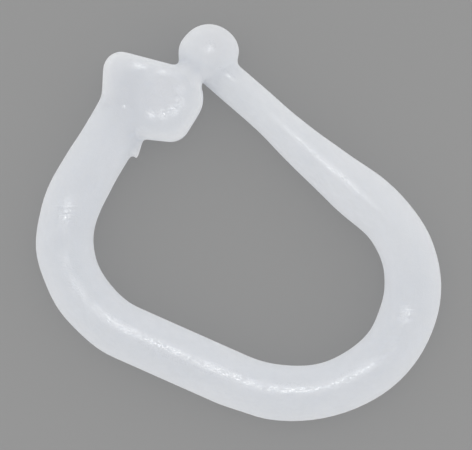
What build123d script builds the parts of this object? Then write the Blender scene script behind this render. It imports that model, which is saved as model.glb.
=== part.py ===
from build123d import *
from math import acos, atan2, cos, degrees, radians, sin, sqrt
import os

# Blind pleat clip: a one-piece moulded ring whose ball-ended spring arm latches in a slotted head.
# Millimetres. The ring lies flat, with +X along its straight base run and +Z out of its front face.

# Rod and loop, measured on the rod's centre line
body_d = 2.8            # rod thickness round the loop
leg_lean = 7.3          # degrees the leg leans in from square to the base run
leg_len = 4.5           # leg, from the left bend to its end in the head
left_r = 5.15           # left bend
base_len = 6.0          # straight base run
right_low_r = 6.9       # right bend, slow lower part
right_low_turn = 54.0   # degrees turned by the lower part
right_high_r = 5.1      # right bend, tighter upper part

# Spring arm and its ball
arm_d = 1.85            # thin end of the arm
taper_len = 7.3         # stretch over which the rod thins to the arm
ball_d = 2.92
ball_step = 0.12        # how far the ball stands out of the arm on the loop's side
nose_len = 0.77         # blunt nose of the ball, from its centre to the tip along the slot's floor

# Head, a plate on the end of the leg with a round dish in its front face
head_t = 2.7
dish_up = 5.9           # dish centre above the left bend's end, along the leg
dish_in = 1.22          # dish centre towards the loop, from the leg's centre line
dish_d = 2.16
dish_wall = 0.2         # sloping wall round the dish's flat floor
dish_depth = 0.06
edge_r = 0.4            # rounding of the plate's front and back edges

# Sides of the head: distance from the dish centre, and the way each faces, in degrees from the loop's side
head_top = 1.67
head_top_way = 106.5
head_left = 3.02
head_left_way = -152.3
head_neck = 2.2
head_neck_way = -106.0
head_bottom = 2.2
head_bottom_way = -65.0
head_right = 2.0
head_right_way = -0.6
top_left_r = 0.9
top_right_r = 1.6
bottom_right_r = 1.0

# Latch: the arm lies in a slot through the head's corner, and the ball bears on the slot's lips
ball_along = 1.7        # ball beyond the dish centre, along the head's top side
slot_side_gap = 0.15    # arm to each wall of the slot
slot_floor_gap = 0.08   # ball to the floor of the slot
lip_gap = 0.05          # ball to the lips of the slot

# Barb on the leg, under the head
barb_len = 0.95
barb_h = 0.35
barb_t = 1.0

body_r = body_d / 2
arm_r = arm_d / 2
ball_r = ball_d / 2
slot_w = arm_d + 2 * slot_side_gap
ball_out = ball_r - arm_r - ball_step
slot_floor = arm_r + ball_step + slot_floor_gap


# Where two sides of the head meet, measured from the dish centre
def corner(first, second):
    (near, near_way), (far, far_way) = first, second
    a = radians(near_way)
    b = radians(far_way)
    spread = sin(b - a)
    return ((near * sin(b) - far * sin(a)) / spread, (far * cos(a) - near * cos(b)) / spread)


top_side = (head_top, head_top_way)
left_side = (head_left, head_left_way)
neck_side = (head_neck, head_neck_way)
bottom_side = (head_bottom, head_bottom_way)
right_side = (head_right, head_right_way)
top_left = corner(top_side, left_side)
neck_left = corner(left_side, neck_side)
neck_right = corner(neck_side, bottom_side)
bottom_right = corner(bottom_side, right_side)
top_right = corner(right_side, top_side)

# The leg's plane: its Y runs up the leg from the left bend, and its X points into the loop
lean = radians(leg_lean)
leg_foot = Vector(-left_r * cos(lean), left_r * sin(lean))
leg_plane = Plane(leg_foot, x_dir=(cos(lean), -sin(lean), 0), z_dir=(0, 0, 1))
dish_centre = leg_plane.from_local_coords((dish_in, dish_up))
head_plane = Plane(dish_centre, x_dir=leg_plane.x_dir, z_dir=leg_plane.z_dir)

# The ball lies on the slot's lips, above the head's top side
top_way = radians(head_top_way)
ball_rise = head_top + sqrt(ball_r**2 - (slot_w / 2) ** 2) + lip_gap
ball_x = ball_along * sin(top_way) + ball_rise * cos(top_way)
ball_y = ball_rise * sin(top_way) - ball_along * cos(top_way)
ball_centre = head_plane.from_local_coords((ball_x, ball_y))

# The arm runs straight from the right bend to the ball, so the bend's turn follows from the ball's place
low_turn = radians(right_low_turn)
low_centre = Vector(base_len, right_low_r - left_r)
high_centre = low_centre + Vector(sin(low_turn), -cos(low_turn)) * (right_low_r - right_high_r)
reach = ball_centre - high_centre
arm_offset = right_high_r + ball_out
arm_turn = 90 + degrees(atan2(reach.Y, reach.X) - acos(arm_offset / reach.length))
arm_len = sqrt(reach.length**2 - arm_offset**2)

with BuildPart() as clip:
    # Head plate with rounded edges
    with BuildSketch(head_plane) as plate:
        with BuildLine():
            Polyline(top_left, neck_left, neck_right, bottom_right, top_right, close=True)
        make_face()
        rounded = ((top_left, top_left_r), (top_right, top_right_r), (bottom_right, bottom_right_r))
        for place, radius in rounded:
            fillet(plate.vertices().sort_by_distance(place)[0], radius)
    extrude(amount=head_t / 2, both=True)
    fillet(clip.faces().filter_by(Axis.Z).edges(), edge_r)

    # Dish in the front face: a flat floor inside a sloping wall
    with Locations(head_plane.offset((head_t - dish_depth) / 2)):
        Cone(dish_d / 2 - dish_wall, dish_d / 2, dish_depth, mode=Mode.SUBTRACT)

    # Round rod: leg, left bend, base run and right bend
    with BuildLine() as loop:
        leg = Line(leg_plane.from_local_coords((0, leg_len)), leg_foot)
        left_bend = JernArc(leg @ 1, leg % 1, left_r, 90 + leg_lean)
        base = Line(left_bend @ 1, left_bend @ 1 + Vector(base_len, 0))
        right_low = JernArc(base @ 1, base % 1, right_low_r, right_low_turn)
        right_high = JernArc(right_low @ 1, right_low % 1, right_high_r, arm_turn - right_low_turn)
    with BuildSketch(Plane(leg @ 0, z_dir=leg % 0)):
        Circle(body_r)
    sweep(path=loop.line)

    # Slot through the head's corner, open to the outside of the loop
    arm_plane = Plane(right_high @ 1, x_dir=right_high % 1, z_dir=(0, 0, 1))
    with BuildSketch(arm_plane):
        with Locations((arm_len, slot_floor)):
            Rectangle(2 * head_left, 2 * slot_floor + ball_d, align=(Align.CENTER, Align.MAX))
    extrude(amount=slot_w / 2, both=True, mode=Mode.SUBTRACT)

    # Tapering arm, turned about its own axis
    with BuildSketch(arm_plane):
        with BuildLine():
            Line((0, 0), (0, body_r))
            Spline((0, body_r), (taper_len, arm_r), tangents=((1, 0), (1, 0)))
            Polyline((taper_len, arm_r), (arm_len, arm_r), (arm_len, 0), (0, 0))
        make_face()
    revolve(axis=Axis(arm_plane.origin, arm_plane.x_dir))

    # Ball on the arm's end, drawn out to a blunt nose that lies in the slot, just off its floor
    nose_reach = sqrt(ball_r**2 + nose_len**2)
    nose_way = arm_plane.x_dir * (nose_len / nose_reach) + arm_plane.y_dir * (ball_r / nose_reach)
    nose_start = (ball_r**2 / nose_reach, ball_r * nose_len / nose_reach)
    ball_plane = Plane(ball_centre, x_dir=nose_way, z_dir=nose_way.cross(Vector(0, 0, 1)))
    with BuildSketch(ball_plane):
        with BuildLine():
            ThreePointArc((-ball_r, 0), (0, ball_r), nose_start)
            Polyline(nose_start, (nose_reach, 0), (-ball_r, 0))
        make_face()
    revolve(axis=Axis(ball_centre, nose_way))

    # Barb that stands off the leg just under the head
    barb_top = dish_up + neck_right[1]
    with BuildSketch(leg_plane):
        with BuildLine():
            Polyline(
                (0, barb_top - barb_len),
                (body_r + barb_h, barb_top - barb_len),
                (dish_in + neck_right[0], barb_top + edge_r),
                (0, barb_top + edge_r),
                close=True,
            )
        make_face()
    extrude(amount=barb_t / 2, both=True)

# The clip lies on its back, centred over its own outline
box = clip.part.bounding_box()
with BuildPart() as pleat_clip:
    add(clip.part.moved(Location((-box.center().X, -box.center().Y, -box.min.Z))))

os.makedirs("parts", exist_ok=True)
pleat_clip.part.label = "pleat_clip"
export_step(pleat_clip.part, "parts/pleat_clip.step")
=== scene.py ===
import math
import bmesh
import bpy
import numpy as np
from mathutils import Matrix, Vector


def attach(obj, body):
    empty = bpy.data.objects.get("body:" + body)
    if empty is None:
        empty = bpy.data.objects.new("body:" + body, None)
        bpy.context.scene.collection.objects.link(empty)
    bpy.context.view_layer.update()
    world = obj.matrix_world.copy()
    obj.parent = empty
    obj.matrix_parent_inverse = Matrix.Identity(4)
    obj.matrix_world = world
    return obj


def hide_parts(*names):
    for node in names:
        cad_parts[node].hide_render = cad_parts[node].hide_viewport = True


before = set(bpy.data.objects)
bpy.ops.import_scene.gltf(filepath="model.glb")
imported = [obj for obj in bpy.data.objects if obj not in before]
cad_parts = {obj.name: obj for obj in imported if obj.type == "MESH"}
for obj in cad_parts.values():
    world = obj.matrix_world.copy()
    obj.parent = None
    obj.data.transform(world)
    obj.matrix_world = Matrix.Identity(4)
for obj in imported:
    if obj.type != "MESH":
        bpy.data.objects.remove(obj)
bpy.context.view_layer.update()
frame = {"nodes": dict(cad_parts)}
scene = bpy.context.scene
mm = 0.001
print("frame loaded:", ", ".join(frame["nodes"]))


# Photo frame: straight down on the clip, turned so that the head is at the upper left
cameraSetup = {
    "aim": (-0.889 * mm, -0.115 * mm),   # middle of the picture
    "turn": 23.934,                      # degrees about the vertical
    "width": 23.6 * mm,                  # what the picture's width covers at the rod's middle height
    "pixels": (472, 450),
    "midHeight": 1.46 * mm,
    "height": 300 * mm,
    "sensor": 36.0,                      # millimetres
}


def photoVector(right, up, out=0.0):
    turn = Matrix.Rotation(math.radians(cameraSetup["turn"]), 3, "Z")
    return turn @ Vector((right, up, out))


def photoPoint(x, y, out=0.0):
    size = cameraSetup["width"] / cameraSetup["pixels"][0]
    right = (x - cameraSetup["pixels"][0] / 2) * size
    up = (cameraSetup["pixels"][1] / 2 - y) * size
    return photoVector(right, up, out) + Vector((*cameraSetup["aim"], 0))


def addCamera(setup):
    data = bpy.data.cameras.new("photoCamera")
    data.sensor_width = setup["sensor"]
    data.lens = data.sensor_width * (setup["height"] - setup["midHeight"]) / setup["width"]
    data.clip_start = setup["height"] / 100
    data.clip_end = setup["height"] * 10
    camera = bpy.data.objects.new("photoCamera", data)
    camera.location = (*setup["aim"], setup["height"])
    camera.rotation_euler = (0, 0, math.radians(setup["turn"]))
    scene.collection.objects.link(camera)
    scene.camera = camera


addCamera(cameraSetup)
print("camera set")


# Moulded skin over the clip: the solid meshed in small cells and softened, so that head, leg and arm
# run into each other as in one shot of plastic. Sizes here are in millimetres.
skinShape = {
    "weld": 0.0005,                      # points nearer than this are joined
    "cell": 0.084,
    "softPasses": 10,
    "beadR": 0.42,
    "beadCount": 7,
    "beadDetail": 3,                     # subdivisions
    "beadRows": (                        # photo point and height of each row's ends
        (((185, 72), 2.25), ((195.5, 79.5), 2.25)),     # front lip
        (((185, 72), 0.67), ((195.5, 79.5), 0.67)),     # back lip
        (((185, 72), 0.67), ((185, 72), 2.25)),         # round the ball's nose
    ),
    "blends": (                          # photo point, height, reach and passes of extra softening
        ((114, 104), 1.46, 1.8, 96),     # leg into head
        ((134, 126), 2.5, 1.2, 80),      # leg into the head's lower side
        ((190, 76), 2.4, 1.3, 72),       # front lip onto ball and arm
        ((190, 76), 0.52, 1.3, 72),      # back lip
        ((184, 71), 1.46, 1.3, 60),      # round the nose
        ((222, 70), 1.46, 1.3, 48),      # arm into ball
    ),
    "armStart": ((378, 188), 1.46),
    "armEnd": ((213, 52), 1.46),
    "armBow": 0.08,                      # how far the arm sags into the loop
    "armBowEnd": 0.7,                    # share of the arm that sags
    "armHalf": 1.5,                      # half width that sags, fading out over half as much again
    "swells": (                          # photo point on an edge, reach and how far the edge stands out
        ((99, 206), 1.9, 0.09),          # leg's foot, inside
        ((38, 250), 2.0, 0.10),          # left bend, outside, inside and outside again
        ((111, 287), 1.7, 0.06),
        ((78, 331), 1.8, -0.055),
        ((241, 411), 1.5, -0.07),        # base run's end, outside
        ((320, 361), 2.0, -0.075),       # right bend, inside
        ((380, 311), 1.3, 0.06),
        ((366, 238), 2.4, -0.10),
        ((381, 268), 1.2, -0.04),
        ((438, 290), 2.9, 0.05),         # right bend, outside
        ((411, 206), 2.1, -0.06),
        ((357, 159), 1.8, -0.04),        # arm's thick end, outside
        ((288, 160), 2.6, 0.045),        # arm, inside
        ((82, 127), 1.6, -0.045),        # leg, outside
        ((181, 50), 1.0, 0.08),          # ball's left and right
        ((237, 46), 1.1, 0.05),
    ),
}


def smoothStep(value):
    share = np.clip(value, 0, 1)
    return share * share * (3 - 2 * share)


def readVectors(mesh, name):
    flat = np.empty(len(mesh.vertices) * 3)
    mesh.vertices.foreach_get(name, flat)
    return flat.reshape(-1, 3)


def writePoints(mesh, points):
    mesh.vertices.foreach_set("co", points.astype(np.float32).ravel())
    mesh.update()


def applyModifiers(piece):
    shaped = piece.evaluated_get(bpy.context.evaluated_depsgraph_get())
    mesh = bpy.data.meshes.new_from_object(shaped)
    piece.modifiers.clear()
    piece.data = mesh


def skinPoint(place, height):
    spot = photoPoint(*place) / mm
    return np.array((spot.x, spot.y, height))


# The slot's lips run on over the ball and the arm, as rows of beads in the mesh
def addBeads(build, shape):
    for ends in shape["beadRows"]:
        first, last = [skinPoint(place, height) for place, height in ends]
        for step in np.linspace(0, 1, shape["beadCount"]):
            spot = Matrix.Translation(first + step * (last - first))
            bmesh.ops.create_icosphere(
                build, subdivisions=shape["beadDetail"], radius=shape["beadR"], matrix=spot
            )


def bowArm(points, shape):
    start = skinPoint(*shape["armStart"])
    end = skinPoint(*shape["armEnd"])
    length = np.linalg.norm(end - start)
    way = (end - start) / length
    side = np.array((-way[1], way[0], 0))
    along = (points - start) @ way / length
    across = (points - start) @ side
    share = np.sin(np.pi * np.clip(along / shape["armBowEnd"], 0, 1)) ** 2
    share = share * smoothStep(3 - 2 * np.abs(across) / shape["armHalf"])
    return points + shape["armBow"] * share[:, None] * side


# The edges stand out or in by up to a tenth of a millimetre, as the photo's uneven rod does
def swellEdges(points, normals, shape):
    flatWays = normals * (1, 1, 0)
    for place, reach, height in shape["swells"]:
        away = np.linalg.norm((points - skinPoint(place, 0))[:, :2], axis=1)
        points = points + height * smoothStep(1 - away / reach)[:, None] * flatWays
    return points


def mouldedSkin(shape):
    mesh = bpy.data.meshes.new("pleatClip")
    build = bmesh.new()
    build.from_mesh(frame["nodes"]["pleat_clip"].data)
    bmesh.ops.scale(build, vec=(1 / mm, 1 / mm, 1 / mm), verts=build.verts)
    bmesh.ops.remove_doubles(build, verts=build.verts, dist=shape["weld"])
    addBeads(build, shape)
    build.to_mesh(mesh)
    build.free()
    piece = bpy.data.objects.new("pleatClip", mesh)
    scene.collection.objects.link(piece)
    cells = piece.modifiers.new("cells", "REMESH")
    cells.mode = "VOXEL"
    cells.voxel_size = shape["cell"]
    applyModifiers(piece)
    print("skin meshed:", len(piece.data.vertices), "points")

    points = readVectors(piece.data, "co")
    soft = piece.modifiers.new("soft", "SMOOTH")
    soft.iterations = shape["softPasses"]
    for place, height, reach, passes in shape["blends"]:
        group = piece.vertex_groups.new(name="blend")
        away = np.linalg.norm(points - skinPoint(place, height), axis=1)
        weight = smoothStep(2 - 2 * away / reach)
        for index in np.nonzero(weight > 0)[0]:
            group.add([int(index)], float(weight[index]), "REPLACE")
        blend = piece.modifiers.new("blend", "SMOOTH")
        blend.iterations = passes
        blend.vertex_group = group.name
    applyModifiers(piece)
    points = swellEdges(readVectors(piece.data, "co"), readVectors(piece.data, "normal"), shape)
    writePoints(piece.data, bowArm(points, shape) * mm)
    piece.data.shade_smooth()
    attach(piece, "root")
    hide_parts("pleat_clip")
    return piece


clip = mouldedSkin(skinShape)
print("skin softened:", sum(len(face.vertices) - 2 for face in clip.data.polygons), "triangles")


# Shader helpers
def addNode(tree, kind, place, **values):
    node = tree.nodes.new(kind)
    node.location = place
    for name, value in values.items():
        if hasattr(node, name):
            setattr(node, name, value)
        else:
            node.inputs[name].default_value = value
    return node


def newMaterial(name):
    material = bpy.data.materials.new(name)
    material.use_nodes = True
    material.node_tree.nodes.clear()
    return material, material.node_tree


# A soft-edged spot on the surface, set by its centre, turn, half sizes and strength
def spotMask(core):
    group = bpy.data.node_groups.new("spotMask", "ShaderNodeTree")
    for name in ("Place", "Centre", "Turn", "Size"):
        group.interface.new_socket(name, in_out="INPUT", socket_type="NodeSocketVector")
    group.interface.new_socket("Strength", in_out="INPUT", socket_type="NodeSocketFloat")
    group.interface.new_socket("Mask", in_out="OUTPUT", socket_type="NodeSocketFloat")
    given = addNode(group, "NodeGroupInput", (-700, 0))
    local = addNode(group, "ShaderNodeMapping", (-450, 0), vector_type="TEXTURE")
    away = addNode(group, "ShaderNodeVectorMath", (-200, 0), operation="LENGTH")
    ease = addNode(group, "ShaderNodeMapRange", (0, 0), interpolation_type="SMOOTHSTEP")
    ease.inputs["From Min"].default_value = 1.0
    ease.inputs["From Max"].default_value = core
    made = addNode(group, "NodeGroupOutput", (250, 0))
    group.links.new(given.outputs["Place"], local.inputs["Vector"])
    group.links.new(given.outputs["Centre"], local.inputs["Location"])
    group.links.new(given.outputs["Turn"], local.inputs["Rotation"])
    group.links.new(given.outputs["Size"], local.inputs["Scale"])
    group.links.new(given.outputs["Strength"], ease.inputs["To Max"])
    group.links.new(local.outputs["Vector"], away.inputs[0])
    group.links.new(away.outputs["Value"], ease.inputs["Value"])
    group.links.new(ease.outputs["Result"], made.inputs["Mask"])
    return group


# Natural plastic, satin with glossy spots. A spot has its photo point, half sizes in millimetres,
# turn in degrees on the photo and strength.
plasticFinish = {
    "thick": (0.688, 0.715, 0.757, 1),
    "thin": (0.796, 0.811, 0.844, 1),
    "cloudSize": 3.0 * mm,
    "cloudFrost": 0.9,                   # share of the cloud's fine grain
    "cloudDetail": 6.0,
    "grainSize": 0.08 * mm,
    "grainHeight": 0.007 * mm,
    "speckSize": 0.09 * mm,
    "speckBand": (0.32, 0.54),           # noise levels between which satin turns glossy
    "dragSize": (0.8, 0.16),             # length and spacing of the drag marks across the bends
    "dragHeight": 0.028 * mm,
    "pitSize": 0.16 * mm,
    "pitHeight": 0.018 * mm,
    "satin": 0.85,                       # roughness
    "gloss": 0.18,
    "ior": 1.49,
    "scatter": 2.0 * mm,
    "glossSpots": (
        ((118, 323), (3.4, 0.9), -31, 0.92),    # base run
        ((165, 350), (4.2, 0.9), -25, 0.97),
        ((225, 373), (4.6, 0.9), -18, 0.97),
        ((290, 388), (4.0, 0.9), 0, 0.95),      # lower right bend
        ((350, 375), (3.2, 0.9), 25, 0.92),
        ((66, 262), (0.45, 1.0), 15, 0.8),      # left bend
        ((78, 290), (0.6, 1.5), 33, 0.92),
        ((66, 212), (1.1, 1.3), 0, 1.0),
        ((326, 163), (6.0, 0.34), -41.8, 0.82),  # arm and its root
        ((227, 73), (1.2, 0.3), -36, 1.0),
        ((211, 46), (0.9, 0.75), 0, 0.93),      # ball
        ((181, 91), (0.45, 0.5), 0, 0.75),      # dish's lower right wall
        ((180, 103), (0.5, 0.5), 0, 0.88),
        ((173, 111), (0.55, 0.5), 0, 0.9),
        ((163, 115), (0.5, 0.5), 0, 0.9),
        ((152, 115), (0.5, 0.45), 0, 0.85),
        ((139, 67), (0.8, 0.3), -10, 0.82),     # head's top edge
        ((163, 73), (0.6, 0.25), -4, 0.82),
        ((125, 107), (0.3, 0.14), 0, 0.9),      # end of the leg on the head
        ((404, 314), (0.8, 0.8), 0, 1.0),       # right bend
        ((393, 345), (0.5, 0.6), 0, 0.5),
    ),
    "dragSpots": (
        ((66, 210), (1.1, 1.4), 0, 1.0),        # left bend
        ((404, 314), (0.8, 0.9), 0, 1.0),       # right bend
        ((393, 345), (0.6, 0.7), 0, 0.8),
    ),
    "pitSpots": (
        ((211, 46), (0.9, 0.75), 0, 0.15),      # ball
        ((166, 100), (1.4, 1.4), 0, 1.0),       # dish
        ((70, 275), (0.9, 1.8), 20, 0.8),       # left bend
        ((66, 215), (1.2, 1.1), 0, 0.5),
    ),
    "paintedShadeAndLight": (                           # colour of painted shade, then of painted light, and the spots where each is painted
        # painted shade: a deeper grey on the head's left, where it lies in shade, and on the ball to
        # darken its lit side
        ((0.70, 0.71, 0.74, 1), (
            ((121, 86), (1.4, 2.2), 0, 0.2),    # head's left
            ((216, 42), (1.6, 1.4), 0, 0.6),    # ball
        )),
        # painted light: a paler colour in the dish, in the crease between head and arm, and on the arm's
        # thick end and the bend beside it, lifting their shade
        ((0.82, 0.832, 0.86, 1), (
            ((162, 97), (1.7, 1.7), 0, 0.6),    # dish
            ((203, 80), (0.8, 0.8), 0, 0.5),    # crease between head and arm
            ((190, 72), (0.9, 0.6), -40, 0.2),
            ((375, 210), (5.5, 2.4), -46, 0.35),    # arm's thick end and the bend next to it
        )),
    ),
    "spotDepth": 6.0,                    # half depth of every spot, so that it goes right through
    "spotCore": 0.3,                     # share of a spot that has its full strength
}


def spotsMask(tree, group, place, spots, depth, left, top):
    strongest = None
    for number, (spot, size, turn, strength) in enumerate(spots):
        mask = addNode(tree, "ShaderNodeGroup", (left, top - 200 * number), node_tree=group)
        mask.inputs["Centre"].default_value = photoPoint(*spot, cameraSetup["midHeight"])
        mask.inputs["Turn"].default_value = (0, 0, math.radians(cameraSetup["turn"] + turn))
        mask.inputs["Size"].default_value = (size[0] * mm, size[1] * mm, depth * mm)
        mask.inputs["Strength"].default_value = strength
        tree.links.new(place, mask.inputs["Place"])
        if strongest is None:
            strongest = mask.outputs["Mask"]
            continue
        most = addNode(tree, "ShaderNodeMath", (left + 200, top - 200 * number), operation="MAXIMUM")
        tree.links.new(strongest, most.inputs[0])
        tree.links.new(mask.outputs["Mask"], most.inputs[1])
        strongest = most.outputs["Value"]
    return strongest


def naturalPlastic(finish):
    material, tree = newMaterial("naturalPlastic")
    link = tree.links.new
    group = spotMask(finish["spotCore"])
    place = addNode(tree, "ShaderNodeTexCoord", (-2000, 0)).outputs["Object"]
    glossy = spotsMask(tree, group, place, finish["glossSpots"], finish["spotDepth"], -1600, 1800)
    drag = spotsMask(tree, group, place, finish["dragSpots"], finish["spotDepth"], -1600, -900)
    pitted = spotsMask(tree, group, place, finish["pitSpots"], finish["spotDepth"], -1600, -1700)

    # Cloudy tint, then painted shade (deeper) and painted light (paler) in places
    cloud = addNode(tree, "ShaderNodeTexNoise", (-850, 250), Scale=1 / finish["cloudSize"])
    cloud.inputs["Detail"].default_value = finish["cloudDetail"]
    cloud.inputs["Roughness"].default_value = finish["cloudFrost"]
    tint = addNode(tree, "ShaderNodeMix", (-600, 250), data_type="RGBA")
    tint.inputs["A"].default_value = finish["thick"]
    tint.inputs["B"].default_value = finish["thin"]
    link(place, cloud.inputs["Vector"])
    link(cloud.outputs["Fac"], tint.inputs["Factor"])
    colour = tint.outputs["Result"]
    for number, (paint, spots) in enumerate(finish["paintedShadeAndLight"]):
        mask = spotsMask(tree, group, place, spots, finish["spotDepth"], -1600, -400 - 400 * number)
        over = addNode(tree, "ShaderNodeMix", (-400 + 150 * number, 250), data_type="RGBA")
        over.inputs["B"].default_value = paint
        link(colour, over.inputs["A"])
        link(mask, over.inputs["Factor"])
        colour = over.outputs["Result"]

    # Satin, with specks of gloss on the glossy spots
    speck = addNode(tree, "ShaderNodeTexNoise", (-850, 800), Scale=1 / finish["speckSize"], Detail=2.0)
    specked = addNode(tree, "ShaderNodeMapRange", (-650, 800))
    specked.inputs["From Min"].default_value = finish["speckBand"][0]
    specked.inputs["From Max"].default_value = finish["speckBand"][1]
    both = addNode(tree, "ShaderNodeMath", (-450, 700), operation="MULTIPLY")
    shine = addNode(tree, "ShaderNodeMix", (-250, 600), data_type="FLOAT")
    shine.inputs["A"].default_value = finish["satin"]
    shine.inputs["B"].default_value = finish["gloss"]
    link(place, speck.inputs["Vector"])
    link(speck.outputs["Fac"], specked.inputs["Value"])
    link(specked.outputs["Result"], both.inputs[0])
    link(glossy, both.inputs[1])
    link(both.outputs["Value"], shine.inputs["Factor"])

    # Fine grain, drag marks across the bends, and pits on ball, dish and left bend
    grain = addNode(tree, "ShaderNodeTexNoise", (-850, -100), Scale=1 / finish["grainSize"], Detail=2.0)
    grainRelief = addNode(tree, "ShaderNodeBump", (-400, -100), Distance=finish["grainHeight"])
    across = addNode(tree, "ShaderNodeMapping", (-1050, -350), vector_type="TEXTURE")
    across.inputs["Rotation"].default_value = (0, 0, math.radians(cameraSetup["turn"]))
    across.inputs["Scale"].default_value = (finish["dragSize"][0] * mm, finish["dragSize"][1] * mm, mm)
    marks = addNode(tree, "ShaderNodeTexNoise", (-850, -350), Scale=1.0, Detail=1.0)
    marked = addNode(tree, "ShaderNodeMath", (-650, -350), operation="MULTIPLY")
    dragRelief = addNode(tree, "ShaderNodeBump", (-200, -250), Distance=finish["dragHeight"])
    link(place, grain.inputs["Vector"])
    link(grain.outputs["Fac"], grainRelief.inputs["Height"])
    link(place, across.inputs["Vector"])
    link(across.outputs["Vector"], marks.inputs["Vector"])
    link(marks.outputs["Fac"], marked.inputs[0])
    link(drag, marked.inputs[1])
    link(marked.outputs["Value"], dragRelief.inputs["Height"])
    link(grainRelief.outputs["Normal"], dragRelief.inputs["Normal"])
    pits = addNode(tree, "ShaderNodeTexNoise", (-850, -600), Scale=1 / finish["pitSize"], Detail=1.0)
    sunk = addNode(tree, "ShaderNodeMath", (-650, -600), operation="MULTIPLY")
    pitRelief = addNode(tree, "ShaderNodeBump", (-50, -450), Distance=finish["pitHeight"])
    link(place, pits.inputs["Vector"])
    link(pits.outputs["Fac"], sunk.inputs[0])
    link(pitted, sunk.inputs[1])
    link(sunk.outputs["Value"], pitRelief.inputs["Height"])
    link(dragRelief.outputs["Normal"], pitRelief.inputs["Normal"])

    shader = addNode(tree, "ShaderNodeBsdfPrincipled", (50, 0))
    shader.inputs["IOR"].default_value = finish["ior"]
    shader.inputs["Subsurface Weight"].default_value = 1.0
    shader.inputs["Subsurface Radius"].default_value = (1.0, 1.0, 1.0)
    shader.inputs["Subsurface Scale"].default_value = finish["scatter"]
    out = addNode(tree, "ShaderNodeOutputMaterial", (350, 0))
    link(colour, shader.inputs["Base Color"])
    link(shine.outputs["Result"], shader.inputs["Roughness"])
    link(pitRelief.outputs["Normal"], shader.inputs["Normal"])
    link(shader.outputs["BSDF"], out.inputs["Surface"])
    return material


clip.data.materials.append(naturalPlastic(plasticFinish))
print("plastic dressed")


# Floor and light: a pale tent all round the clip, whose floor shows to the camera as a grey card
stageSetup = {
    "floorSize": 900 * mm,
    "floorTone": (0.225, 0.225, 0.225, 1),   # grey card under the tent's light
    "floorRough": 0.9,
    "cardGlow": 0.11,                    # evens out the shade that the clip throws on the card
    "tentTop": 0.5,                      # tent's brightness overhead, at the horizon and on its floor
    "tentSide": 1.35,
    "tentFloor": 0.55,
    "tentLean": 0.07,                    # share by which the tent is brighter at the picture's top
    "lampDistance": 260 * mm,
    "lamps": {                           # degrees right of and up from the line of sight, size and power
        "key": (6.0, 13.5, 130 * mm, 0.28),
        "side": (-13.0, 9.0, 130 * mm, 0.22),
    },
}


def addFloor(setup):
    half = setup["floorSize"] / 2
    corners = [(-half, -half, 0), (half, -half, 0), (half, half, 0), (-half, half, 0)]
    mesh = bpy.data.meshes.new("floor")
    mesh.from_pydata(corners, [], [(0, 1, 2, 3)])
    floor = bpy.data.objects.new("floor", mesh)
    scene.collection.objects.link(floor)
    material, tree = newMaterial("paleFloor")
    path = addNode(tree, "ShaderNodeLightPath", (-300, 250))
    tent = addNode(tree, "ShaderNodeEmission", (-300, 0), Strength=setup["tentFloor"])
    card = addNode(tree, "ShaderNodeBsdfPrincipled", (-300, -200), Roughness=setup["floorRough"])
    card.inputs["Base Color"].default_value = setup["floorTone"]
    card.inputs["Emission Color"].default_value = (1, 1, 1, 1)
    card.inputs["Emission Strength"].default_value = setup["cardGlow"]
    choice = addNode(tree, "ShaderNodeMixShader", (50, 0))
    out = addNode(tree, "ShaderNodeOutputMaterial", (300, 0))
    tree.links.new(path.outputs["Is Camera Ray"], choice.inputs[0])
    tree.links.new(tent.outputs["Emission"], choice.inputs[1])
    tree.links.new(card.outputs["BSDF"], choice.inputs[2])
    tree.links.new(choice.outputs["Shader"], out.inputs["Surface"])
    mesh.materials.append(material)


def addLights(setup):
    world = bpy.data.worlds.new("tent")
    world.use_nodes = True
    tree = world.node_tree
    sky = tree.nodes["Background"]
    sky.inputs["Color"].default_value = (1, 1, 1, 1)
    look = addNode(tree, "ShaderNodeTexCoord", (-1000, 0)).outputs["Generated"]
    height = addNode(tree, "ShaderNodeSeparateXYZ", (-800, 150))
    tone = addNode(tree, "ShaderNodeMapRange", (-600, 150))
    tone.inputs["To Min"].default_value = setup["tentSide"]
    tone.inputs["To Max"].default_value = setup["tentTop"]
    rise = addNode(tree, "ShaderNodeVectorMath", (-800, -150), operation="DOT_PRODUCT")
    rise.inputs[1].default_value = photoVector(0, 1)
    lean = addNode(tree, "ShaderNodeMapRange", (-600, -150))
    lean.inputs["From Min"].default_value = -1.0
    lean.inputs["To Min"].default_value = 1 - setup["tentLean"]
    lean.inputs["To Max"].default_value = 1 + setup["tentLean"]
    glow = addNode(tree, "ShaderNodeMath", (-300, 0), operation="MULTIPLY")
    tree.links.new(look, height.inputs["Vector"])
    tree.links.new(height.outputs["Z"], tone.inputs["Value"])
    tree.links.new(look, rise.inputs[0])
    tree.links.new(rise.outputs["Value"], lean.inputs["Value"])
    tree.links.new(tone.outputs["Result"], glow.inputs[0])
    tree.links.new(lean.outputs["Result"], glow.inputs[1])
    tree.links.new(glow.outputs["Value"], sky.inputs["Strength"])
    scene.world = world
    for name, (right, up, size, power) in setup["lamps"].items():
        data = bpy.data.lights.new(name, "AREA")
        data.shape = "DISK"
        data.size = size
        data.energy = power
        lamp = bpy.data.objects.new(name, data)
        way = photoVector(math.tan(math.radians(right)), math.tan(math.radians(up)), 1.0).normalized()
        lamp.location = way * setup["lampDistance"]
        lamp.rotation_euler = (-way).to_track_quat("-Z", "Y").to_euler()
        lamp.visible_diffuse = False     # the lamps show as a gleam, and the tent gives the light
        scene.collection.objects.link(lamp)
    scene.view_settings.view_transform = "Standard"


addFloor(stageSetup)
addLights(stageSetup)
print("stage lit")
